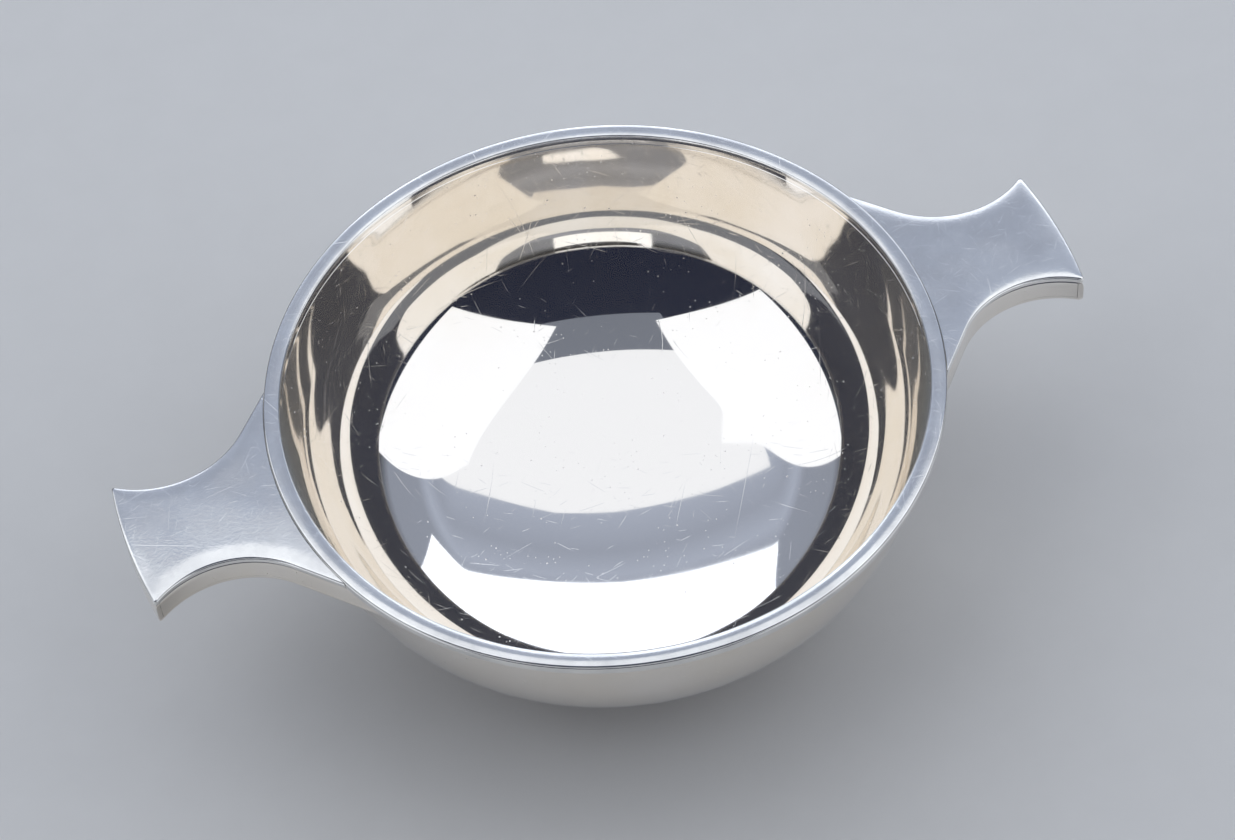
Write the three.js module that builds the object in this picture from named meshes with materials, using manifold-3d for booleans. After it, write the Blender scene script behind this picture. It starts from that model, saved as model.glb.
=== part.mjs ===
// Two-lugged drinking bowl in silver: a raised bowl, an applied rim, a collet foot and two hollow lugs.
// Millimetres and degrees, +Z up. The foot stands on z = 0, its centre is the origin, and the lugs lie along X.
import * as THREE from "three";
import { mergeVertices } from "three/addons/utils/BufferGeometryUtils.js";
import Module from "manifold-3d";

const wasm = await Module();
wasm.setup();

// Driving dimensions of the rim, whose inner face leans out and whose top falls away a little towards
// both tightly rolled edges
const RIM_RADIUS = 60;
const RIM_WIDTH = 3;
const RIM_HEIGHT = 2.2;
const RIM_OUTER_ROLL = 0.35;
const RIM_OUTER_FALL_WIDTH = 1.3;
const RIM_OUTER_FALL = 0.09;
const RIM_INNER_LEAN = 0.2;
const RIM_INNER_ROLL = 0.22;
const RIM_INNER_FALL_WIDTH = 0.8;
const RIM_INNER_FALL = 0.08;

// Driving dimensions of the bowl: tangent arcs from the mouth down, the last one crossing the axis level
const BOWL_WALL = 0.9;
const MOUTH_SLOPE = 86.9;
const MOUTH_ARC = 74.6;
const SIDE_SLOPE = 77.7;
const SIDE_ARC = 36.3;
const SHOULDER_SLOPE = 66;
const SHOULDER_ARC = 32.6;
const FLOOR_SLOPE = 12.6;

// Driving dimensions of the foot
const FOOT_BASE_RADIUS = 31;
const FOOT_NECK_RADIUS = 27.5;
const FOOT_SHEET = 1.4;
const FOOT_LIP = 1.3;
const FOOT_RECESS = 5.4;

// Driving dimensions of the lugs, seen from above and then in section
const LUG_LENGTH = 27.6;
const LUG_WAIST_OUT = 15.6;
const LUG_WAIST_WIDTH = 19.1;
const LUG_SIDE_ARC = 18;
const LUG_FLARE = 47;
const LUG_DROP = 0.6;
const LUG_TOP_SHEET = 1.5;
const LUG_EDGE_ROLL = 0.3;
const LUG_FALL_WIDTH = 2.3;
const LUG_FALL = 0.11;
const LUG_SIDE_SHEET = 0.9;
const LUG_SIDE_HEIGHT = 4;
const LUG_SHOULDER_HEIGHT = 0.9;
const LUG_SHOULDER_INSET = 0.35;
const LUG_FLOOR_SHEET = 0.8;

// How far the untrimmed lug pieces reach in under the rim
const LUG_ROOT_DEPTH = 12;

// Gap left between a curved seat and the piece soldered to it
const SEAM = 0.3;

// Facets round the bowl and steps along each kind of curve
const TURN_FACETS = 72;
const MOUTH_STEPS = 3;
const SIDE_STEPS = 3;
const SHOULDER_STEPS = 9;
const FLOOR_STEPS = 4;
const ROLL_STEPS = 3;
const FOOT_STEPS = 6;
const LUG_STEPS = 14;
const LUG_END_STEPS = 10;

// Sizes that follow from the ones above
const rad = THREE.MathUtils.degToRad;
const mouthRadius = RIM_RADIUS - RIM_WIDTH;
const bowlArcs = makeBowlArcs();
const bowlDepth = bowlArcs[0].radius - bowlArcs[0].centre.y;
const mouthLevel = FOOT_RECESS + BOWL_WALL + bowlDepth;
const rimTop = mouthLevel + RIM_HEIGHT;
const lugTop = rimTop - LUG_DROP;
const lugSideTop = lugTop - LUG_TOP_SHEET;
const lugFloorTop = lugSideTop - LUG_SIDE_HEIGHT;
const lugBottom = lugFloorTop - LUG_FLOOR_SHEET;
const lugReach = RIM_RADIUS + LUG_LENGTH;
const lugRoot = RIM_RADIUS - LUG_ROOT_DEPTH;

const polished = { color: 0xe6e1d8, roughness: 0.08, metalness: 1 };
const satin = { color: 0xb9c2cc, roughness: 0.35, metalness: 1 };

function point(x, y) {
  return new THREE.Vector2(x, y);
}

// The point of a bowl-shaped arc where its slope from the horizontal is the one given
function onArc(centre, radius, slope) {
  return point(centre.x + radius * Math.sin(slope), centre.y - radius * Math.cos(slope));
}

// An arc that ends at the point given, where its slope is the upper one
function arcBelow(end, radius, lower, upper, steps) {
  const centre = point(end.x - radius * Math.sin(rad(upper)), end.y + radius * Math.cos(rad(upper)));
  return { centre, radius, from: rad(lower), to: rad(upper), steps };
}

function lowerEnd(arc) {
  return onArc(arc.centre, arc.radius, arc.from);
}

// The arcs of the bowl's inner face from the floor up, with the mouth at height zero
function makeBowlArcs() {
  const mouth = arcBelow(point(mouthRadius, 0), MOUTH_ARC, SIDE_SLOPE, MOUTH_SLOPE, MOUTH_STEPS);
  const side = arcBelow(lowerEnd(mouth), SIDE_ARC, SHOULDER_SLOPE, SIDE_SLOPE, SIDE_STEPS);
  const shoulder = arcBelow(lowerEnd(side), SHOULDER_ARC, FLOOR_SLOPE, SHOULDER_SLOPE, SHOULDER_STEPS);
  const floorArc = lowerEnd(shoulder).x / Math.sin(rad(FLOOR_SLOPE));
  const floor = arcBelow(lowerEnd(shoulder), floorArc, 0, FLOOR_SLOPE, FLOOR_STEPS);
  return [floor, shoulder, side, mouth];
}

// The bowl's curve from the axis to the mouth, the given distance outside its inner face
function bowlCurve(offset) {
  const points = [];
  for (const arc of bowlArcs) {
    for (let i = points.length ? 1 : 0; i <= arc.steps; i++) {
      const slope = THREE.MathUtils.lerp(arc.from, arc.to, i / arc.steps);
      points.push(onArc(arc.centre, arc.radius + offset, slope).add(point(0, mouthLevel)));
    }
  }
  points[0].x = 0;
  return points;
}

// The same curve carried on along its tangent to the level of the mouth
function bowlCurveToMouth(offset) {
  const edge = point(mouthRadius + offset / Math.sin(rad(MOUTH_SLOPE)), mouthLevel);
  return [...bowlCurve(offset), edge];
}

// Height of the bowl's floor arc at a radius, the given distance outside its inner face
function floorHeight(radius, offset) {
  const dish = bowlArcs[0];
  const reach = dish.radius + offset;
  return mouthLevel + dish.centre.y - Math.sqrt(reach * reach - radius * radius);
}

// A solid of revolution about Z from a profile of radius and height, walked anticlockwise
function turned(profile) {
  const geometry = new THREE.LatheGeometry(profile, TURN_FACETS);
  geometry.rotateX(Math.PI / 2);
  return geometry;
}

// Quarter-round points from angle a to angle b about a centre
function roll(x, y, radius, a, b) {
  const points = [];
  for (let i = 0; i <= ROLL_STEPS; i++) {
    const angle = rad(THREE.MathUtils.lerp(a, b, i / ROLL_STEPS));
    points.push(point(x + radius * Math.cos(angle), y + radius * Math.sin(angle)));
  }
  return points;
}

function makeBowl() {
  const inner = bowlCurve(0);
  const outer = bowlCurveToMouth(BOWL_WALL);
  return turned([...outer, ...inner.reverse()]);
}

function makeRim() {
  const outerRoll = point(RIM_RADIUS - RIM_OUTER_ROLL, rimTop - RIM_OUTER_FALL - RIM_OUTER_ROLL);
  const innerEdge = mouthRadius + RIM_INNER_LEAN;
  const innerRoll = point(innerEdge + RIM_INNER_ROLL, rimTop - RIM_INNER_FALL - RIM_INNER_ROLL);
  const profile = [
    point(mouthRadius, mouthLevel),
    point(RIM_RADIUS, mouthLevel),
    ...roll(outerRoll.x, outerRoll.y, RIM_OUTER_ROLL, 0, 90),
    point(outerRoll.x - RIM_OUTER_FALL_WIDTH, rimTop),
    point(innerRoll.x + RIM_INNER_FALL_WIDTH, rimTop),
    ...roll(innerRoll.x, innerRoll.y, RIM_INNER_ROLL, 90, 180),
    point(mouthRadius, mouthLevel),
  ];
  return turned(profile);
}

// A hollow collar that sweeps in from its lip to the neck and meets the underside of the bowl
function makeFoot() {
  const under = BOWL_WALL + SEAM;
  const neckInside = FOOT_NECK_RADIUS - FOOT_SHEET;
  const outside = [];
  const inside = [];
  for (let i = 0; i <= FOOT_STEPS; i++) {
    const angle = (i / FOOT_STEPS) * (Math.PI / 2);
    const inward = 1 - Math.cos(angle);
    const upward = Math.sin(angle);
    const neckTop = floorHeight(FOOT_NECK_RADIUS, under);
    const insideTop = floorHeight(neckInside, under);
    const sweep = FOOT_BASE_RADIUS - FOOT_NECK_RADIUS;
    outside.push(point(FOOT_BASE_RADIUS - sweep * upward, FOOT_LIP + (neckTop - FOOT_LIP) * inward));
    inside.push(point(FOOT_BASE_RADIUS - FOOT_SHEET - sweep * upward, insideTop * inward));
  }
  const start = inside[0];
  return turned([start, point(FOOT_BASE_RADIUS, 0), ...outside, ...inside.reverse()]);
}

// One long side of the lug seen from above, from its outer corner to its root inside the bowl,
// the given distance in from the edge
function lugSide(inset) {
  const centre = point(RIM_RADIUS + LUG_WAIST_OUT, LUG_WAIST_WIDTH / 2 + LUG_SIDE_ARC);
  const radius = LUG_SIDE_ARC + inset;
  const reach = lugReach - inset;
  const far = centre.length();
  const along = (reach * reach - radius * radius + far * far) / (2 * far);
  const across = Math.sqrt(reach * reach - along * along);
  const out = centre.clone().divideScalar(far);
  const corner = point(along * out.x + across * out.y, along * out.y - across * out.x);
  const flare = rad(LUG_FLARE);
  const start = Math.asin((corner.x - centre.x) / radius);
  const points = [corner];
  for (let i = 1; i <= LUG_STEPS; i++) {
    points.push(onArc(centre, radius, THREE.MathUtils.lerp(start, -flare, i / LUG_STEPS)));
  }
  const last = points[points.length - 1];
  points.push(point(lugRoot, last.y + (last.x - lugRoot) * Math.tan(flare)));
  return points;
}

// The lug's end seen from above, from its right corner to its left one
function lugEnd(inset) {
  const corner = lugSide(inset)[0];
  const half = corner.angle();
  const points = [point(corner.x, -corner.y)];
  for (let i = 1; i < LUG_END_STEPS; i++) {
    const angle = THREE.MathUtils.lerp(-half, half, i / LUG_END_STEPS);
    points.push(point(Math.cos(angle), Math.sin(angle)).multiplyScalar(lugReach - inset));
  }
  return [...points, corner];
}

function mirrored(points) {
  return points.map((p) => point(p.x, -p.y));
}

// The whole outline of the lug, anticlockwise
function lugOutline(inset) {
  const side = lugSide(inset);
  return [...lugEnd(inset), ...side.slice(1), ...mirrored(side).slice(1).reverse()];
}

// A closed solid through a stack of outlines that all have the same number of points
function stacked(layers) {
  const count = layers[0].outline.length;
  const positions = layers.flatMap(({ outline, height }) => outline.flatMap((p) => [p.x, p.y, height]));
  const indices = [];
  for (let layer = 0; layer + 1 < layers.length; layer++) {
    for (let i = 0; i < count; i++) {
      const a = layer * count + i;
      const b = layer * count + ((i + 1) % count);
      indices.push(a, b, b + count, a, b + count, a + count);
    }
  }
  const top = (layers.length - 1) * count;
  for (const [a, b, c] of THREE.ShapeUtils.triangulateShape(layers[0].outline, [])) {
    indices.push(a, c, b);
  }
  for (const [a, b, c] of THREE.ShapeUtils.triangulateShape(layers[layers.length - 1].outline, [])) {
    indices.push(top + a, top + b, top + c);
  }
  const geometry = new THREE.BufferGeometry();
  geometry.setAttribute("position", new THREE.Float32BufferAttribute(positions, 3));
  geometry.setIndex(indices);
  return geometry;
}

// A straight-sided solid on an outline
function block(outline, bottom, top) {
  return stacked([{ outline, height: bottom }, { outline, height: top }]);
}

function toSolid(geometry) {
  const bare = geometry.clone();
  bare.deleteAttribute("normal");
  bare.deleteAttribute("uv");
  const merged = mergeVertices(bare);
  const mesh = new wasm.Mesh({
    numProp: 3,
    vertProperties: new Float32Array(merged.attributes.position.array),
    triVerts: new Uint32Array(merged.index.array),
  });
  return new wasm.Manifold(mesh);
}

function toGeometry(solid) {
  const mesh = solid.getMesh();
  const geometry = new THREE.BufferGeometry();
  geometry.setAttribute("position", new THREE.BufferAttribute(new Float32Array(mesh.vertProperties), 3));
  geometry.setIndex(new THREE.BufferAttribute(new Uint32Array(mesh.triVerts), 1));
  geometry.computeVertexNormals();
  return geometry;
}

// The room that the bowl and its rim take up, with the seam round them
function makeBowlRoom() {
  const wall = bowlCurveToMouth(BOWL_WALL + SEAM);
  const wellAbove = rimTop + RIM_HEIGHT;
  const rim = [
    point(0, mouthLevel - SEAM),
    point(RIM_RADIUS + SEAM, mouthLevel - SEAM),
    point(RIM_RADIUS + SEAM, wellAbove),
    point(0, wellAbove),
  ];
  return toSolid(turned([...wall, point(0, mouthLevel)])).add(toSolid(turned(rim)));
}

const bowlRoom = makeBowlRoom();

// A lug piece made too long and trimmed where the bowl and rim are
function fitted(geometry) {
  return toGeometry(toSolid(geometry).subtract(bowlRoom));
}

// The flat top, which falls away a little to rolled edges on the three open sides
function makeLugTop() {
  const layers = [{ outline: lugOutline(0), height: lugSideTop }];
  for (const p of roll(-LUG_EDGE_ROLL, lugTop - LUG_FALL - LUG_EDGE_ROLL, LUG_EDGE_ROLL, 0, 90)) {
    layers.push({ outline: lugOutline(-p.x), height: p.y });
  }
  layers.push({ outline: lugOutline(LUG_EDGE_ROLL + LUG_FALL_WIDTH), height: lugTop });
  return fitted(stacked(layers));
}

function makeLugFloor() {
  return fitted(block(lugOutline(0), lugBottom, lugFloorTop));
}

// A strip between two outlines, drawn by a function of the outer one's inset, its top shoulder eased
function strip(outlineAt) {
  return stacked([
    { outline: outlineAt(0), height: lugFloorTop },
    { outline: outlineAt(0), height: lugSideTop - LUG_SHOULDER_HEIGHT },
    { outline: outlineAt(LUG_SHOULDER_INSET), height: lugSideTop },
  ]);
}

// The strip of one long side, mitred at its outer corner
function makeLugLeftStrip() {
  return fitted(strip((inset) => [...lugSide(inset), ...lugSide(LUG_SIDE_SHEET).reverse()]));
}

function makeLugRightStrip() {
  return fitted(strip((inset) => mirrored([...lugSide(LUG_SIDE_SHEET), ...lugSide(inset).reverse()])));
}

function makeLugEnd() {
  return strip((inset) => [...lugEnd(inset), ...lugEnd(LUG_SIDE_SHEET).reverse()]);
}

function piece(name, geometry, finish) {
  const mesh = new THREE.Mesh(geometry, new THREE.MeshStandardMaterial(finish));
  mesh.name = name;
  return mesh;
}

// A hollow lug built out along +X and turned to its own end of the bowl. Its left strip, seen looking
// outwards from the bowl, ends up at the back of the right lug and at the front of the left one
function makeLug(name, turn, leftStrip, rightStrip) {
  const lug = new THREE.Group();
  lug.add(piece(`${name}_lug_top`, makeLugTop(), satin));
  lug.add(piece(`${name}_lug_${leftStrip}_side`, makeLugLeftStrip(), polished));
  lug.add(piece(`${name}_lug_${rightStrip}_side`, makeLugRightStrip(), polished));
  lug.add(piece(`${name}_lug_end`, makeLugEnd(), polished));
  lug.add(piece(`${name}_lug_floor`, makeLugFloor(), polished));
  lug.rotation.z = rad(turn);
  return lug;
}

const model = new THREE.Group();
model.add(piece("bowl", makeBowl(), polished));
model.add(piece("rim", makeRim(), satin));
model.add(piece("foot", makeFoot(), polished));
model.add(makeLug("right", 0, "back", "front"));
model.add(makeLug("left", 180, "front", "back"));

export default model;
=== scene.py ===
"""A two-lugged silver bowl on a pale table, dressed around its solid model."""

import math

import bpy
from mathutils import Matrix, Vector, noise


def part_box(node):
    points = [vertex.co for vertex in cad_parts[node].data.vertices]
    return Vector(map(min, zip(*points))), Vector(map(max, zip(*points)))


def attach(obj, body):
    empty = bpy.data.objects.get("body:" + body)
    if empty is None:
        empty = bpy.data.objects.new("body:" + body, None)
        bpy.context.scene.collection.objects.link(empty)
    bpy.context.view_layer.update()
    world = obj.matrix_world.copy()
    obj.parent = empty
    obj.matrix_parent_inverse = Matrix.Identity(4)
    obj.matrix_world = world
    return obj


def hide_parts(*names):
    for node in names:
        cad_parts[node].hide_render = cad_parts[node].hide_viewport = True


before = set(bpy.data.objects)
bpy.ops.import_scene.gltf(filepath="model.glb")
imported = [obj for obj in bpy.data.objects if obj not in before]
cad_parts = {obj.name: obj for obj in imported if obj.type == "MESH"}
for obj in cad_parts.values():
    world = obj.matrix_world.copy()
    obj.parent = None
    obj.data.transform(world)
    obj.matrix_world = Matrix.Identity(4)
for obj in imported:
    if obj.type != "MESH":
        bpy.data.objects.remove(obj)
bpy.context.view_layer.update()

# Sizes read from the frame, in metres
RIM_LOW, RIM_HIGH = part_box("rim")
_, FOOT_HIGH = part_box("foot")
TOP_LOW, TOP_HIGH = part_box("right_lug_top")
FLOOR_LOW, FLOOR_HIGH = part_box("right_lug_floor")
RIM_RADIUS = RIM_HIGH[0]
RIM_TOP = RIM_HIGH[2]
MOUTH_LEVEL = RIM_LOW[2]
LUG_REACH = TOP_HIGH[0]
LUG_TOP = TOP_HIGH[2]
LUG_TOP_UNDER = TOP_LOW[2]
LUG_FLOOR_TOP = FLOOR_HIGH[2]
LUG_BOTTOM = FLOOR_LOW[2]
FOOT_RADIUS = FOOT_HIGH[0]

# Millimetres and degrees, for the sizes that follow
MM = 0.001
rad = math.radians

# Bowl: tangent arcs from the mouth down, the last one closing on the axis
RIM_WIDTH = 3.0 * MM
BOWL_WALL = 0.9 * MM
BOWL_ARCS = (74.6 * MM, 36.3 * MM, 32.6 * MM)
BOWL_SLOPES = (rad(86.9), rad(77.7), rad(66.0), rad(12.6))
MOUTH_RADIUS = RIM_RADIUS - RIM_WIDTH
ARC_STEP = 0.7 * MM

# Hand-made waves in the wall: their height, their scales with shares, and the depth over which they come in
WALL_WAVE = 0.03 * MM
WAVE_SCALES = ((55, 1.0), (120, 0.3))
WAVE_FADE = 2 * MM

# Under the mouth the wall is straightened: over this depth, by this angle at the mouth, most on this side
STRAIGHT_DEPTH = 3.5 * MM
STRAIGHT_TURN = rad(2.7)
STRAIGHT_SIDE = Vector((0.45, 0.89, 0.0))

# Meshes
LATHE_FACETS = 256
ON_AXIS = 1e-9
CREASE = rad(40)
BEVEL_SEGMENTS = 3
BEVEL_LIMIT = rad(50)
SOFT_EDGE = 0.1 * MM

# A scribed line's section, as depth and height in shares of the line's depth
LINE_DEPTH = 0.12 * MM
LINE_SECTION = ((0.0, -0.8), (0.7, -0.35), (1.0, 0.0), (0.7, 0.35), (0.0, 0.8))

# Rim section: a top with a crown towards each edge, as reach and fall, rolled edges that each turn
# between two angles, a leaning inner face, and a scribed line below each edge
RIM_OUTER_CROWN = (0.6 * MM, 0.02 * MM)
RIM_INNER_CROWN = (1.6 * MM, 0.17 * MM)
RIM_BACK_SHARE = 0.45
RIM_OUTER_EDGE = 0.35 * MM
RIM_OUTER_TURN = (0, 84)
RIM_INNER_EDGE = 0.22 * MM
RIM_INNER_TURN = (100, 174)
RIM_LOWER_EDGE = 0.25 * MM
RIM_INNER_LEAN = 0.2 * MM
RIM_OUTER_LINE = 0.62 * MM
RIM_INNER_LINE = 0.38 * MM

# The bowl's edge stands this far up inside the rim, in a rebate of this depth
BOWL_RISE = 0.95 * MM
REBATE = 0.5 * MM

# Foot section
FOOT_NECK_RADIUS = 27.5 * MM
FOOT_SHEET = 1.4 * MM
FOOT_LIP = 1.3 * MM
FOOT_EDGE = 0.35 * MM
FOOT_SHOULDER_TURN = (0, 60)
FOOT_STEPS = 28
SOLDER_SINK = 0.2 * MM

# Lugs seen from above and in section
LUG_WAIST = RIM_RADIUS + 15.6 * MM
LUG_WAIST_HALF = 9.55 * MM
LUG_SIDE_ARC = 18 * MM
LUG_FLARE = rad(47)
LUG_CORNER = 0.6 * MM
LUG_CROWN = (3.6 * MM, 0.1 * MM)
LUG_CROWN_POWER = 3
LUG_EDGE = 0.3 * MM
LUG_EDGE_TURN = (0, 83)
LUG_LOWER_TURN = (280, 360)
LUG_EDGE_LINE = 0.52 * MM
LUG_FLOOR_EDGE = 0.35 * MM
LUG_FLOOR_TURN = (275, 360)
LUG_SIDE_SHEET = 0.9 * MM
STRIP_SHOULDER = (0.4 * MM, 1.0 * MM)
STRIP_TURN = (0, 80)
PLATE_SEAM = 0.03 * MM
SEAM = 0.1 * MM

# Points along the parts of a lug's outlines
SIDE_STEPS = 56
END_POINTS = 20
HALF_POINTS = 120
ROOT_POINTS = 42
STRIP_END_POINTS = 41

# The middle of random colours, and the limits between which random values turn into marks, to be
# lowered by the share that is marked
MIDDLE = (0.5, 0.5, 0.5)
CELL_LIMITS = (0.9, 1.1)
PATCH_LIMITS = (0.68, 0.74)

# Scratches: cell size, width and share of cells. Specks: cell size, radius, size of patches and share
SCRATCH_BEND = 0.06
SCRATCH_FADE = (0.25, 0.65)
POLISHED_SCRATCHES = (
    (22 * MM, 0.045 * MM, 0.5),
    (11 * MM, 0.04 * MM, 0.5),
    (5 * MM, 0.032 * MM, 0.45),
    (2.2 * MM, 0.025 * MM, 0.3),
)
POLISHED_SPECKS = (
    (1.1 * MM, 0.13 * MM, 9 * MM, 0.35),
    (2.6 * MM, 0.22 * MM, 7 * MM, 0.4),
)
SATIN_RUBBING = (
    (6.0 * MM, 0.07 * MM, 0.7),
    (3.0 * MM, 0.065 * MM, 0.8),
    (1.6 * MM, 0.055 * MM, 0.8),
)
SATIN_LONG_SCRATCHES = (13 * MM, 0.08 * MM, 0.7)
BUMP_DEPTH = 0.02 * MM

# Colours of the surfaces, and the heights between which the tarnish comes in
CLEAN_SILVER = (0.94, 0.895, 0.835)
TARNISHED_SILVER = (0.885, 0.82, 0.725)
TARNISHED_HEIGHTS = (10 * MM, 26 * MM)
SHEEN_TINT = (0.85, 0.93, 1.0, 1.0)
BRIGHT_SATIN = (0.99, 0.975, 0.94)
WORN_SATIN = (0.75, 0.74, 0.725)
TABLE_TONES = ((0.72, 0.71, 0.69), (0.76, 0.75, 0.73))
TABLE_SIZE = 12

# Camera, from the photograph's angle
CAMERA_AZIMUTH = rad(-16.94)
CAMERA_ELEVATION = rad(52.73)
CAMERA_ROLL = rad(-5.52)
CAMERA_DISTANCE = 590.7 * MM
CAMERA_TARGET = Vector((-1.05 * MM, -9.38 * MM, RIM_TOP))
CAMERA_LENS = 99.2
CAMERA_SENSOR = 36
CAMERA_CLIP = 0.01

# Studio: cool white lamps in a dim blue-grey room
LIGHT_COLOUR = (0.95, 1.0, 1.09)
CARD_COLOUR = (0.92, 1.0, 1.15)
ROOM_COLOUR = (0.87, 1.0, 1.3)
DARK_COLOUR = (0.004, 0.008, 0.03)
SOFTBOX_RADIANCE = 1.16
SCRIM_RADIANCE = 1.01
STRIP_RADIANCE = 0.2
CARD_RADIANCE = 1.5

# Corners of the panels, in metres to the right of, behind and above the rim. The scrim and the strip
# lie level at their heights, and the card stands upright at its distance
RIGHT_SOFTBOX = ((0.215, -0.475, 0.9), (0.98, -0.75, 0.34), (0.98, 0.35, 0.34), (0.285, 0.48, 0.9))
LEFT_SOFTBOX = ((-0.29, -0.44, 0.9), (-1.0, -0.56, 0.3), (-1.0, 0.69, 0.45), (-0.22, 0.47, 0.9))
SCRIM_HEIGHT = 1.2
SCRIM = (
    (-0.44, -0.14), (1.2, -0.14), (0.75, 0.66), (0.36, 0.76),
    (0.16, 0.83), (0, 0.84), (-0.28, 0.82), (-0.44, 0.79),
)
STRIP_HEIGHT = 1.3
STRIP = ((-0.5, -0.8), (0.5, -0.8), (0.5, -0.13), (-0.5, -0.13))
CARD_DISTANCE = 1.0
CARD = ((-0.36, 0.44), (0.68, 0.44), (0.72, 1.0), (0.0, 0.93), (-0.38, 0.94))

# Brightness of the room behind the bowl at the sine of each elevation. Towards the camera's side the
# room goes over into the dark within this share of the view
ROOM_STOPS = ((0.34, 0.015), (0.44, 0.3), (0.66, 0.31), (0.71, 0.45), (0.76, 0.36), (0.84, 0.46))
ROOM_EDGE = 0.25


def on_arc(centre, radius, slope):
    """The point of a bowl-shaped arc where its slope is the one given."""
    return centre[0] + radius * math.sin(slope), centre[1] - radius * math.cos(slope)


def bowl_arcs():
    """Centre, radius, lower slope and upper slope of each arc, from the mouth down."""
    arcs = []
    point = (MOUTH_RADIUS, MOUTH_LEVEL)
    for radius, upper, lower in zip(BOWL_ARCS, BOWL_SLOPES, BOWL_SLOPES[1:]):
        centre = (point[0] - radius * math.sin(upper), point[1] + radius * math.cos(upper))
        arcs.append((centre, radius, lower, upper))
        point = on_arc(centre, radius, lower)
    lowest = BOWL_SLOPES[-1]
    radius = point[0] / math.sin(lowest)
    arcs.append(((0.0, point[1] + radius * math.cos(lowest)), radius, 0.0, lowest))
    return arcs


def bowl_curve(offset):
    """Radius and height from the axis up to the mouth, the given distance outside the inner face."""
    points = []
    for centre, radius, lower, upper in reversed(bowl_arcs()):
        steps = round(radius * (upper - lower) / ARC_STEP)
        for i in range(1 if points else 0, steps + 1):
            points.append(on_arc(centre, radius + offset, lower + (upper - lower) * i / steps))
    return points


def wall_radius(height, offset):
    """Radius at a height on the topmost arc, the given distance outside the inner face."""
    centre, radius, *_ = bowl_arcs()[0]
    reach = radius + offset
    return centre[0] + math.sqrt(reach * reach - (centre[1] - height) ** 2)


def floor_height(radius, offset):
    """Height of the floor's arc at a radius, the given distance outside the inner face."""
    centre, arc, *_ = bowl_arcs()[-1]
    reach = arc + offset
    return centre[1] - math.sqrt(reach * reach - radius * radius)


def roll(x, y, radius, start, end, steps=8):
    """Points of a rounded edge between two angles in degrees."""
    angles = [rad(start + (end - start) * i / steps) for i in range(steps + 1)]
    return [(x + radius * math.cos(a), y + radius * math.sin(a)) for a in angles]


def crown(size, power=2, steps=10):
    """Distance in from the edge and drop below the top, from the edge to where the top lies flat."""
    reach, drop = size
    return [(reach * i / steps, drop * (1 - i / steps) ** power) for i in range(steps + 1)]


def scribed(x, z, inward):
    """A fine line cut into an upright face, read from below upwards. Inward is -1 or 1 along x."""
    return [(x + inward * LINE_DEPTH * depth, z + LINE_DEPTH * rise) for depth, rise in LINE_SECTION]


def new_mesh(name, verts, faces):
    """A smooth-shaded mesh object whose edges stay sharp beyond the crease angle."""
    mesh = bpy.data.meshes.new(name)
    mesh.from_pydata(verts, [], faces)
    mesh.update()
    mesh.shade_smooth()
    mesh.set_sharp_from_angle(angle=CREASE)
    obj = bpy.data.objects.new(name, mesh)
    bpy.context.scene.collection.objects.link(obj)
    return obj


def lathe(name, profile, shape=None):
    """A closed solid of revolution. The profile runs anticlockwise, and shape moves each point a little."""
    verts = []
    rings = []
    for r, z in profile:
        count = 1 if r < ON_AXIS else LATHE_FACETS
        first = len(verts)
        for k in range(count):
            a = 2 * math.pi * k / LATHE_FACETS
            verts.append((r * math.cos(a), r * math.sin(a), z))
        rings.append([first + k % count for k in range(LATHE_FACETS)])
    pairs = list(zip(rings, rings[1:]))
    if profile[0][0] >= ON_AXIS:
        pairs.append((rings[-1], rings[0]))
    faces = []
    for low, high in pairs:
        for k in range(LATHE_FACETS):
            n = (k + 1) % LATHE_FACETS
            face = [low[k], low[n], high[n], high[k]]
            faces.append([v for i, v in enumerate(face) if v != face[i - 1]])
    if shape:
        verts = [shape(Vector(v)) for v in verts]
    return new_mesh(name, verts, faces)


def planished(v):
    """Gives the wall its slight waves, and draws it in where it runs straight under the mouth."""
    level = Vector((v.x, v.y, 0.0))
    if level.length < MM:
        return v
    depth = max(0.0, MOUTH_LEVEL - v.z)
    wave = sum(share * noise.noise(v * scale) for scale, share in WAVE_SCALES)
    run = min(depth, STRAIGHT_DEPTH)
    side = max(0.0, level.normalized().dot(STRAIGHT_SIDE)) ** 2
    drawn_in = STRAIGHT_TURN * (run - run * run / (2 * STRAIGHT_DEPTH)) * side
    shift = wave * WALL_WAVE * min(1.0, depth / WAVE_FADE) + drawn_in * level.length / MOUTH_RADIUS
    return v - level.normalized() * shift


def rim_face(height):
    """Radius of the leaning face inside the rim."""
    return MOUTH_RADIUS + RIM_INNER_LEAN * (height - MOUTH_LEVEL) / (RIM_TOP - MOUTH_LEVEL)


def make_bowl():
    """The bowl's sheet, its edge let into the rim and a fine joint line at the mouth."""
    inner = bowl_curve(0)
    outer = bowl_curve(BOWL_WALL)
    edge = MOUTH_LEVEL + BOWL_RISE
    mouth = MOUTH_RADIUS + BOWL_WALL / math.sin(BOWL_SLOPES[0])
    inside_rim = MOUTH_RADIUS + REBATE
    lip = [(inside_rim, MOUTH_LEVEL), (inside_rim, edge), (rim_face(edge), edge)]
    joint = scribed(MOUTH_RADIUS, MOUTH_LEVEL, 1)
    profile = [*outer, (mouth, MOUTH_LEVEL), *lip, *joint[::-1], *inner[-2::-1]]
    return lathe("silver_bowl", profile, planished)


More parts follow.
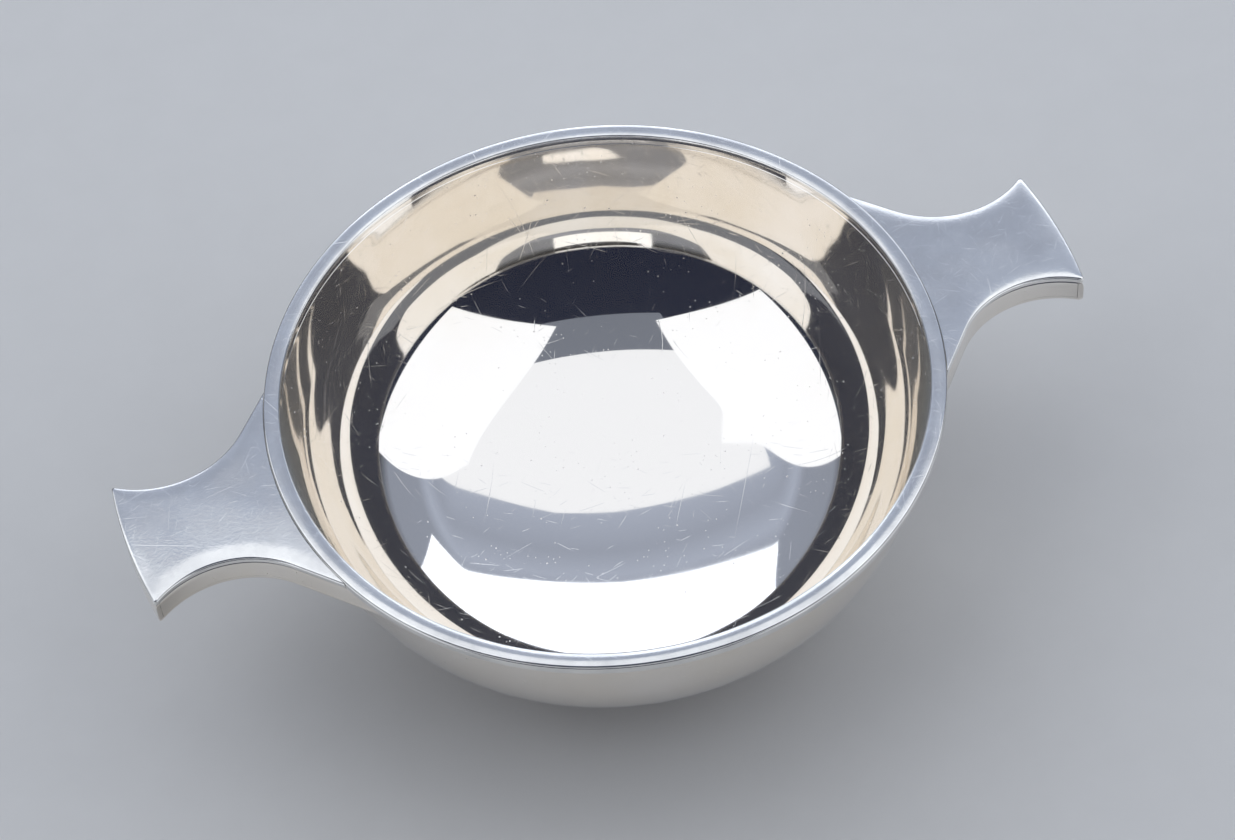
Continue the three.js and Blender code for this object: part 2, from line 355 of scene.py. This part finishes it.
def settled(v):
    """The fall towards the inner edge of the rim's top is full at the front and slighter at the back."""
    level = Vector((v.x, v.y, 0.0))
    if level.length > RIM_RADIUS - RIM_WIDTH / 2 or v.z < RIM_TOP - RIM_INNER_LINE:
        return v
    front = 0.5 - 0.5 * v.y / level.length
    share = RIM_BACK_SHARE + (1 - RIM_BACK_SHARE) * front
    drop = min(RIM_TOP - v.z, RIM_INNER_CROWN[1])
    return v + Vector((0, 0, drop * (1 - share)))


def make_rim():
    """The rim wire, rebated inside for the bowl's edge."""
    outer = RIM_RADIUS
    inner = MOUTH_RADIUS + RIM_INNER_LEAN
    low = MOUTH_LEVEL + RIM_LOWER_EDGE
    base = MOUTH_LEVEL + BOWL_RISE
    line = RIM_TOP - RIM_INNER_LINE
    outer_top = RIM_TOP - RIM_OUTER_CROWN[1]
    inner_top = RIM_TOP - RIM_INNER_CROWN[1]
    outer_crown = [(outer - RIM_OUTER_EDGE - x, RIM_TOP - drop) for x, drop in crown(RIM_OUTER_CROWN)]
    inner_crown = [(inner + RIM_INNER_EDGE + x, RIM_TOP - drop) for x, drop in crown(RIM_INNER_CROWN)]
    profile = [
        (MOUTH_RADIUS + REBATE, MOUTH_LEVEL),
        *roll(outer - RIM_LOWER_EDGE, low, RIM_LOWER_EDGE, 270, 360),
        *scribed(outer, RIM_TOP - RIM_OUTER_LINE, -1),
        *roll(outer - RIM_OUTER_EDGE, outer_top - RIM_OUTER_EDGE, RIM_OUTER_EDGE, *RIM_OUTER_TURN),
        *outer_crown[1:],
        *inner_crown[:0:-1],
        *roll(inner + RIM_INNER_EDGE, inner_top - RIM_INNER_EDGE, RIM_INNER_EDGE, *RIM_INNER_TURN),
        *scribed(rim_face(line), line, 1)[::-1],
        *roll(rim_face(base) + SOFT_EDGE, base + SOFT_EDGE, SOFT_EDGE, 180, 270),
        (MOUTH_RADIUS + REBATE, base),
    ]
    return lathe("silver_rim", profile, settled)


def make_foot():
    """A collar that sweeps in from its lip to the neck, where it is soldered under the bowl."""
    inner_neck = FOOT_NECK_RADIUS - FOOT_SHEET
    sweep = FOOT_RADIUS - FOOT_NECK_RADIUS
    neck_top = floor_height(FOOT_NECK_RADIUS, BOWL_WALL) + SOLDER_SINK
    inner_top = floor_height(inner_neck, BOWL_WALL) + SOLDER_SINK
    outside = []
    inside = []
    for i in range(FOOT_STEPS + 1):
        a = math.pi / 2 * i / FOOT_STEPS
        rise = 1 - math.cos(a)
        outside.append((FOOT_RADIUS - sweep * math.sin(a), FOOT_LIP + (neck_top - FOOT_LIP) * rise))
        inside.append((FOOT_RADIUS - FOOT_SHEET - sweep * math.sin(a), inner_top * rise))
    lip = roll(FOOT_RADIUS - FOOT_EDGE, FOOT_EDGE, FOOT_EDGE, 270, 360)
    shoulder = roll(FOOT_RADIUS - FOOT_EDGE, FOOT_LIP - FOOT_EDGE, FOOT_EDGE, *FOOT_SHOULDER_TURN)
    # The shoulder takes the place of the sweep's first two points
    return lathe("silver_foot", [*lip, *shoulder, *outside[2:], *inside[::-1]])


def lug_side(inset, stop, reach):
    """One long side of the lug, from a circle near its end in to a circle near the bowl."""
    cx, cy = LUG_WAIST, LUG_WAIST_HALF + LUG_SIDE_ARC
    radius = LUG_SIDE_ARC + inset
    # The side begins where its arc crosses the circle near the end
    far = math.hypot(cx, cy)
    along = (reach * reach - radius * radius + far * far) / (2 * far)
    across = math.sqrt(reach * reach - along * along)
    start = math.asin(((along * cx + across * cy) / far - cx) / radius)
    slopes = [start + (-LUG_FLARE - start) * i / SIDE_STEPS for i in range(SIDE_STEPS + 1)]
    points = [on_arc((cx, cy), radius, slope) for slope in slopes]
    # From the end of the arc it runs straight on to the circle near the bowl
    x, y = points[-1]
    dx, dy = -math.cos(LUG_FLARE), math.sin(LUG_FLARE)
    b = x * dx + y * dy
    run = -b - math.sqrt(b * b - (x * x + y * y - stop * stop))
    return [*points, (x + dx * run, y + dy * run)]


def spaced(points, count):
    """The same path with evenly spaced points."""
    lengths = [0.0]
    for a, b in zip(points, points[1:]):
        lengths.append(lengths[-1] + math.dist(a, b))
    result = []
    k = 0
    for i in range(count):
        at = lengths[-1] * i / (count - 1)
        while k < len(points) - 2 and lengths[k + 1] < at:
            k += 1
        t = (at - lengths[k]) / (lengths[k + 1] - lengths[k])
        result.append(tuple(p + (q - p) * min(t, 1.0) for p, q in zip(points[k], points[k + 1])))
    return result


def circle_arc(radius, start, end, count):
    """Points on a circle about the bowl's axis."""
    angles = [start + (end - start) * i / (count - 1) for i in range(count)]
    return [(radius * math.cos(a), radius * math.sin(a)) for a in angles]


def angle_of(point):
    """Direction of a point from the bowl's axis."""
    return math.atan2(point[1], point[0])


def rounded_corner(before, corner, after, steps=8):
    """A smooth bend from one point to another that heads for the corner from both."""
    points = []
    for i in range(steps + 1):
        t = i / steps
        weights = ((1 - t) ** 2, 2 * t * (1 - t), t * t)
        axes = zip(before, corner, after)
        points.append(tuple(sum(w * p for w, p in zip(weights, axis)) for axis in axes))
    return points


def lug_outline(inset, stop):
    """The outline of a lug's plate, anticlockwise from the middle of its end."""
    reach = LUG_REACH - inset
    side = lug_side(inset, stop, reach)
    corner = side[0]
    end = circle_arc(reach, 0.0, angle_of(corner) - LUG_CORNER / reach, END_POINTS)
    side = [p for p in side if math.dist(p, corner) > LUG_CORNER]
    upper = spaced([*end, *rounded_corner(end[-1], corner, side[0])[1:-1], *side], HALF_POINTS)
    root = angle_of(upper[-1])
    inner = circle_arc(stop, root, -root, ROOT_POINTS)[1:-1]
    return [*upper, *inner, *[(x, -y) for x, y in upper[:0:-1]]]


def stacked(name, layers):
    """A closed solid through outlines of equal count, each with its own height."""
    count = len(layers[0][0])
    verts = [(x, y, z) for outline, z in layers for x, y in outline]
    faces = []
    for base in range(0, len(verts) - count, count):
        for i in range(count):
            n = (i + 1) % count
            faces.append((base + i, base + n, base + n + count, base + i + count))
    faces.append(tuple(range(count))[::-1])
    faces.append(tuple(range(len(verts) - count, len(verts))))
    return new_mesh(name, verts, faces)


def placed(obj, side):
    """Turns a lug piece made at the right to its own end of the bowl."""
    if side == "left":
        obj.data.transform(Matrix.Rotation(math.pi, 4, "Z"))
    return obj


def softened(obj):
    """Takes the sharpness off the arrises."""
    bevel = obj.modifiers.new("arrises", "BEVEL")
    bevel.width = SOFT_EDGE
    bevel.segments = BEVEL_SEGMENTS
    bevel.limit_method = "ANGLE"
    bevel.angle_limit = BEVEL_LIMIT
    bevel.harden_normals = True
    return obj


def make_lug_top(side):
    """A plate with a crowned top, a tight edge and a scribed line under it."""
    low = LUG_TOP_UNDER + PLATE_SEAM
    edge_base = LUG_TOP - LUG_CROWN[1] - LUG_EDGE
    lower = LUG_EDGE / 2
    section = [(-x, z) for x, z in roll(-lower, low + lower, lower, *LUG_LOWER_TURN, 5)]
    section += [(-x, z) for x, z in scribed(0.0, LUG_TOP - LUG_EDGE_LINE, -1)]
    section += [(-x, z) for x, z in roll(-LUG_EDGE, edge_base, LUG_EDGE, *LUG_EDGE_TURN)]
    section += [(LUG_EDGE + x, LUG_TOP - drop) for x, drop in crown(LUG_CROWN, LUG_CROWN_POWER)[1:]]
    layers = [(lug_outline(inset, RIM_RADIUS + SEAM), z) for inset, z in section]
    return placed(stacked(f"silver_{side}_lug_top", layers), side)


def make_lug_floor(side):
    """The underplate, its edge rounded below."""
    edge = LUG_FLOOR_EDGE
    section = [(-x, z) for x, z in roll(-edge, LUG_BOTTOM + edge, edge, *LUG_FLOOR_TURN)]
    section.append((0.0, LUG_FLOOR_TOP))
    layers = [(lug_outline(inset, wall_radius(z, BOWL_WALL) + SEAM), z) for inset, z in section]
    return placed(stacked(f"silver_{side}_lug_floor", layers), side)


def strip_section():
    """Inset of the outer face and height, from the foot of a strip to its rounded shoulder."""
    inset, height = STRIP_SHOULDER
    base = LUG_TOP_UNDER - PLATE_SEAM - height
    turn = roll(0, 0, 1.0, *STRIP_TURN)
    return [(0.0, LUG_FLOOR_TOP), *[(inset * (1 - x), base + height * z) for x, z in turn]]


def make_lug_strip(side, place):
    """A long side strip, its inner end cut to the bowl's wall at each height."""
    reach = LUG_REACH - LUG_SIDE_SHEET - SEAM / 2
    layers = []
    for inset, z in strip_section():
        stop = wall_radius(z, BOWL_WALL) + SEAM
        outline = [*lug_side(inset, stop, reach), *lug_side(LUG_SIDE_SHEET, stop, reach)[::-1]]
        if (place == "front") == (side == "right"):
            outline = [(x, -y) for x, y in outline[::-1]]
        layers.append((outline, z))
    return placed(softened(stacked(f"silver_{side}_lug_{place}_side", layers)), side)


def make_lug_end(side):
    """The convex strip across the lug's end."""
    layers = []
    for inset, z in strip_section():
        outer, inner = LUG_REACH - inset, LUG_REACH - LUG_SIDE_SHEET
        outer_half = angle_of(lug_side(0.0, RIM_RADIUS, outer)[0])
        inner_half = angle_of(lug_side(0.0, RIM_RADIUS, inner)[0])
        outside = circle_arc(outer, -outer_half, outer_half, STRIP_END_POINTS)
        inside = circle_arc(inner, inner_half, -inner_half, STRIP_END_POINTS)
        layers.append((outside + inside, z))
    return placed(softened(stacked(f"silver_{side}_lug_end", layers)), side)


class Nodes:
    """Short names for building a material's node tree."""

    def __init__(self, name):
        self.material = bpy.data.materials.new(name)
        self.material.use_nodes = True
        self.tree = self.material.node_tree
        self.shader = self.tree.nodes["Principled BSDF"]
        self.place = self.tree.nodes.new("ShaderNodeTexCoord").outputs["Object"]

    def feed(self, socket, value):
        """Links the socket to another one, or sets its number or colour."""
        if isinstance(value, bpy.types.NodeSocket):
            self.tree.links.new(value, socket)
        else:
            socket.default_value = value

    def add(self, kind, **inputs):
        """A node of that kind with its inputs fed."""
        node = self.tree.nodes.new(kind)
        for key, value in inputs.items():
            self.feed(node.inputs[key.replace("_", " ")], value)
        return node

    def math(self, operation, *values):
        """The result of a sum or other operation on numbers."""
        node = self.tree.nodes.new("ShaderNodeMath")
        node.operation = operation
        for socket, value in zip(node.inputs, values):
            self.feed(socket, value)
        return node.outputs[0]

    def vector(self, operation, *values):
        """The result of an operation on vectors, which is a number only for the dot product."""
        node = self.tree.nodes.new("ShaderNodeVectorMath")
        node.operation = operation
        for socket, value in zip(node.inputs, values):
            self.feed(socket, value)
        return node.outputs["Value" if operation == "DOT_PRODUCT" else "Vector"]

    def noise(self, scale, detail, roughness=0.5, output="Fac"):
        """Cloudy noise across the piece."""
        node = self.add(
            "ShaderNodeTexNoise", Vector=self.place, Scale=scale, Detail=detail, Roughness=roughness
        )
        return node.outputs[output]

    def remap(self, value, low, high, to_low=0.0, to_high=1.0):
        """Carries the range from low to high over to another one, and keeps within it."""
        node = self.add("ShaderNodeMapRange", Value=value)
        for key, number in (("From Min", low), ("From Max", high), ("To Min", to_low), ("To Max", to_high)):
            node.inputs[key].default_value = number
        return node.outputs["Result"]

    def height(self, low, high):
        """Goes from 0 to 1 between two heights."""
        axes = self.add("ShaderNodeSeparateXYZ", Vector=self.place)
        return self.remap(axes.outputs["Z"], low, high)

    def blend(self, factor, first, second):
        """A colour between the first, at factor 0, and the second, at factor 1."""
        node = self.tree.nodes.new("ShaderNodeMix")
        node.data_type = "RGBA"
        self.feed(node.inputs["Factor"], factor)
        node.inputs["A"].default_value = (*first, 1)
        node.inputs["B"].default_value = (*second, 1)
        return node.outputs["Result"]

    def total(self, values):
        """The sum of several values."""
        result = values[0]
        for value in values[1:]:
            result = self.math("ADD", result, value)
        return result

    def bump(self, height, strength):
        """Bends the shading as if the surface had this relief."""
        node = self.add("ShaderNodeBump", Strength=strength, Distance=BUMP_DEPTH, Height=height)
        self.feed(self.shader.inputs["Normal"], node.outputs["Normal"])

    def scratches(self, cell, width, share):
        """In that share of random cells, one fine, slightly bent scratch in a direction of its own."""
        scale = 1 / cell
        sway = self.vector("SUBTRACT", self.noise(scale / 2, detail=1.0, output="Color"), MIDDLE)
        bent = self.vector("ADD", self.place, self.vector("MULTIPLY", sway, (cell * SCRATCH_BEND,) * 3))
        cells = self.add("ShaderNodeTexVoronoi", Vector=bent, Scale=scale)
        away = self.vector("SUBTRACT", bent, cells.outputs["Position"])
        lean = self.vector("NORMALIZE", self.vector("SUBTRACT", cells.outputs["Color"], MIDDLE))
        line = self.math("ABSOLUTE", self.vector("DOT_PRODUCT", away, lean))
        thin = self.remap(line, 0.0, width, 1.0, 0.0)
        fade = self.remap(cells.outputs["Distance"], *SCRATCH_FADE, 1.0, 0.0)
        pick = self.add("ShaderNodeSeparateColor", Color=cells.outputs["Color"]).outputs["Green"]
        chosen = self.remap(pick, *[limit - share for limit in CELL_LIMITS])
        return self.math("MULTIPLY", self.math("MULTIPLY", thin, fade), chosen)

    def pits(self, cell, radius, patch, share):
        """Round specks, one to a cell, in patches that cover about that share of the surface."""
        cells = self.add("ShaderNodeTexVoronoi", Vector=self.place, Scale=1 / cell)
        speck = self.remap(cells.outputs["Distance"], radius / cell / 2, radius / cell, 1.0, 0.0)
        cloud = self.noise(1 / patch, detail=1.0)
        patches = self.remap(cloud, *[limit - share / 2 for limit in PATCH_LIMITS])
        return self.math("MULTIPLY", speck, patches)


def make_polished():
    """Hand-polished silver: a mirror with fine scratches in all directions, specks and a tarnished wall."""
    n = Nodes("polished_silver")
    marks = n.total([n.scratches(*sizes) for sizes in POLISHED_SCRATCHES])
    specks = n.total([n.pits(*sizes) for sizes in POLISHED_SPECKS])
    # A clear mirror, rougher only where it is marked
    cloud = n.noise(scale=60, detail=4.0, roughness=0.6)
    clear = n.remap(cloud, 0.35, 0.7, to_low=0.025, to_high=0.055)
    rough = n.total([clear, n.math("MULTIPLY", marks, 0.28), n.math("MULTIPLY", specks, 0.45)])
    n.feed(n.shader.inputs["Roughness"], rough)
    # Clouds of a warm tint, which come in on the way up the wall
    stain = n.remap(n.noise(scale=28, detail=5.0, roughness=0.6), 0.36, 0.66)
    tarnish = n.math("MULTIPLY", stain, n.height(*TARNISHED_HEIGHTS))
    n.feed(n.shader.inputs["Base Color"], n.blend(tarnish, CLEAN_SILVER, TARNISHED_SILVER))
    n.bump(n.math("MULTIPLY", n.math("ADD", marks, specks), -1.0), strength=0.2)
    n.shader.inputs["Metallic"].default_value = 0.945
    n.shader.inputs["Sheen Weight"].default_value = 0.15
    n.shader.inputs["Sheen Roughness"].default_value = 0.35
    n.shader.inputs["Sheen Tint"].default_value = SHEEN_TINT
    return n.material


def make_satin():
    """Satin silver: rubbing marks under a slightly mottled bloom, and a few long scratches."""
    n = Nodes("satin_silver")
    marks = n.total([n.scratches(*sizes) for sizes in SATIN_RUBBING])
    long_marks = n.scratches(*SATIN_LONG_SCRATCHES)
    bloom = n.noise(scale=110, detail=6.0, roughness=0.6)
    grain = n.noise(scale=1600, detail=3.0, roughness=0.6)
    # The bloom sets the roughness, and the marks add to it
    base = n.remap(bloom, 0.35, 0.65, to_low=0.08, to_high=0.16)
    rough = n.total([base, n.math("MULTIPLY", marks, 0.07), n.math("MULTIPLY", long_marks, 0.15)])
    n.feed(n.shader.inputs["Roughness"], rough)
    # Worn patches are darker, and the marks in them are painted brighter, as painted glints
    patches = n.noise(scale=60, detail=3.0, roughness=0.55)
    wear_and_glints = n.total([
        n.remap(bloom, 0.38, 0.62, to_high=0.5),
        n.remap(patches, 0.4, 0.6, to_high=0.5),
        n.math("MULTIPLY", marks, -0.35),
        n.math("MULTIPLY", long_marks, -0.35),
    ])
    n.feed(n.shader.inputs["Base Color"], n.blend(wear_and_glints, BRIGHT_SATIN, WORN_SATIN))
    dents = n.math("ADD", n.math("MULTIPLY", marks, -0.25), n.math("MULTIPLY", long_marks, -0.8))
    n.bump(n.math("ADD", dents, n.math("MULTIPLY", grain, 0.8)), strength=0.3)
    n.shader.inputs["Metallic"].default_value = 0.88
    return n.material


def make_table():
    """A plain pale table top."""
    n = Nodes("pale_table")
    tone = n.blend(n.noise(scale=90, detail=4.0, roughness=0.6), *TABLE_TONES)
    n.feed(n.shader.inputs["Base Color"], tone)
    n.shader.inputs["Roughness"].default_value = 0.7
    bpy.ops.mesh.primitive_plane_add(size=TABLE_SIZE, location=(0, 0, 0))
    table = bpy.context.object
    table.name = "table"
    table.data.materials.append(n.material)


def camera_axes():
    """Right, up and back directions of the camera."""
    a, e = CAMERA_AZIMUTH, CAMERA_ELEVATION
    back = Vector((math.sin(a) * math.cos(e), -math.cos(a) * math.cos(e), math.sin(e)))
    level = Vector((math.cos(a), math.sin(a), 0.0))
    up = back.cross(level)
    right = math.cos(CAMERA_ROLL) * level + math.sin(CAMERA_ROLL) * up
    return right, back.cross(right), back


def make_camera():
    """The camera at the photograph's angle, upright but for the roll."""
    right, up, back = camera_axes()
    data = bpy.data.cameras.new("camera")
    data.lens = CAMERA_LENS
    data.sensor_width = CAMERA_SENSOR
    data.clip_start = CAMERA_CLIP
    camera = bpy.data.objects.new("camera", data)
    camera.matrix_world = Matrix((right, up, back)).transposed().to_4x4()
    camera.location = CAMERA_TARGET + CAMERA_DISTANCE * back
    bpy.context.scene.collection.objects.link(camera)
    bpy.context.scene.camera = camera


def studio(right, away, up):
    """A place to the right of, behind and above the middle of the rim, as the camera sees it."""
    a = CAMERA_AZIMUTH
    x = Vector((math.cos(a), math.sin(a), 0))
    y = Vector((-math.sin(a), math.cos(a), 0))
    return x * right + y * away + Vector((0, 0, RIM_TOP + up))


def make_panel(name, corners, radiance, colour=LIGHT_COLOUR):
    """A flat, evenly lit panel that the camera doesn't see."""
    panel = new_mesh(name, [studio(*c) for c in corners], [tuple(range(len(corners)))])
    material = bpy.data.materials.new(name)
    material.use_nodes = True
    tree = material.node_tree
    tree.nodes.clear()
    glow = tree.nodes.new("ShaderNodeEmission")
    glow.inputs["Color"].default_value = (*colour, 1)
    glow.inputs["Strength"].default_value = radiance
    out = tree.nodes.new("ShaderNodeOutputMaterial")
    tree.links.new(glow.outputs["Emission"], out.inputs["Surface"])
    panel.data.materials.append(material)
    panel.visible_camera = False


def make_lights():
    """Two tilted softboxes, a scrim overhead, a dim ceiling strip and a white card behind the bowl."""
    scrim = [(x, y, SCRIM_HEIGHT) for x, y in SCRIM]
    strip = [(x, y, STRIP_HEIGHT) for x, y in STRIP]
    card = [(x, CARD_DISTANCE, z) for x, z in CARD]
    make_panel("right_softbox", RIGHT_SOFTBOX, SOFTBOX_RADIANCE)
    make_panel("left_softbox", LEFT_SOFTBOX, SOFTBOX_RADIANCE)
    make_panel("overhead_scrim", scrim, SCRIM_RADIANCE)
    make_panel("ceiling_strip", strip, STRIP_RADIANCE, ROOM_COLOUR)
    make_panel("back_card", card, CARD_RADIANCE, CARD_COLOUR)


def make_world():
    """A dim room: dark on the camera's side and near the floor, grey behind the bowl."""
    world = bpy.data.worlds.new("room")
    bpy.context.scene.world = world
    world.use_nodes = True
    tree = world.node_tree
    place = tree.nodes.new("ShaderNodeTexCoord").outputs["Generated"]
    away = tree.nodes.new("ShaderNodeVectorMath")
    away.operation = "DOT_PRODUCT"
    away.inputs[1].default_value = (-math.sin(CAMERA_AZIMUTH), math.cos(CAMERA_AZIMUTH), 0)
    tree.links.new(place, away.inputs[0])
    behind = tree.nodes.new("ShaderNodeMapRange")
    behind.inputs["From Min"].default_value = 0.0
    behind.inputs["From Max"].default_value = ROOM_EDGE
    tree.links.new(away.outputs["Value"], behind.inputs["Value"])
    height = tree.nodes.new("ShaderNodeSeparateXYZ")
    tree.links.new(place, height.inputs[0])
    ramp = tree.nodes.new("ShaderNodeValToRGB")
    tree.links.new(height.outputs["Z"], ramp.inputs["Fac"])
    while len(ramp.color_ramp.elements) < len(ROOM_STOPS):
        ramp.color_ramp.elements.new(0.5)
    for element, (at, value) in zip(ramp.color_ramp.elements, ROOM_STOPS):
        element.position = at
        element.color = tuple(value * c for c in ROOM_COLOUR) + (1,)
    mix = tree.nodes.new("ShaderNodeMix")
    mix.data_type = "RGBA"
    mix.inputs["A"].default_value = (*DARK_COLOUR, 1)
    tree.links.new(behind.outputs["Result"], mix.inputs["Factor"])
    tree.links.new(ramp.outputs["Color"], mix.inputs["B"])
    tree.links.new(mix.outputs["Result"], tree.nodes["Background"].inputs["Color"])


def dress(obj, material, slot, *nodes):
    """Gives a piece its material and body, and the solids that it stands for. The slot is not used."""
    obj.data.materials.append(material)
    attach(obj, "root")
    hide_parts(*nodes)


def main():
    """The camera, the dressed pieces, the table and the light."""
    make_camera()
    polished = make_polished()
    satin = make_satin()
    dress(make_bowl(), polished, "polished_silver", "bowl")
    dress(make_rim(), satin, "satin_silver", "rim")
    dress(make_foot(), polished, "polished_silver", "foot")
    for side in ("right", "left"):
        dress(make_lug_top(side), satin, "satin_silver", f"{side}_lug_top")
        dress(make_lug_floor(side), polished, "polished_silver", f"{side}_lug_floor")
        dress(make_lug_end(side), polished, "polished_silver", f"{side}_lug_end")
        for place in ("back", "front"):
            dress(make_lug_strip(side, place), polished, "polished_silver", f"{side}_lug_{place}_side")
    make_table()
    make_lights()
    make_world()
    bpy.context.scene.view_settings.view_transform = "Standard"


main()
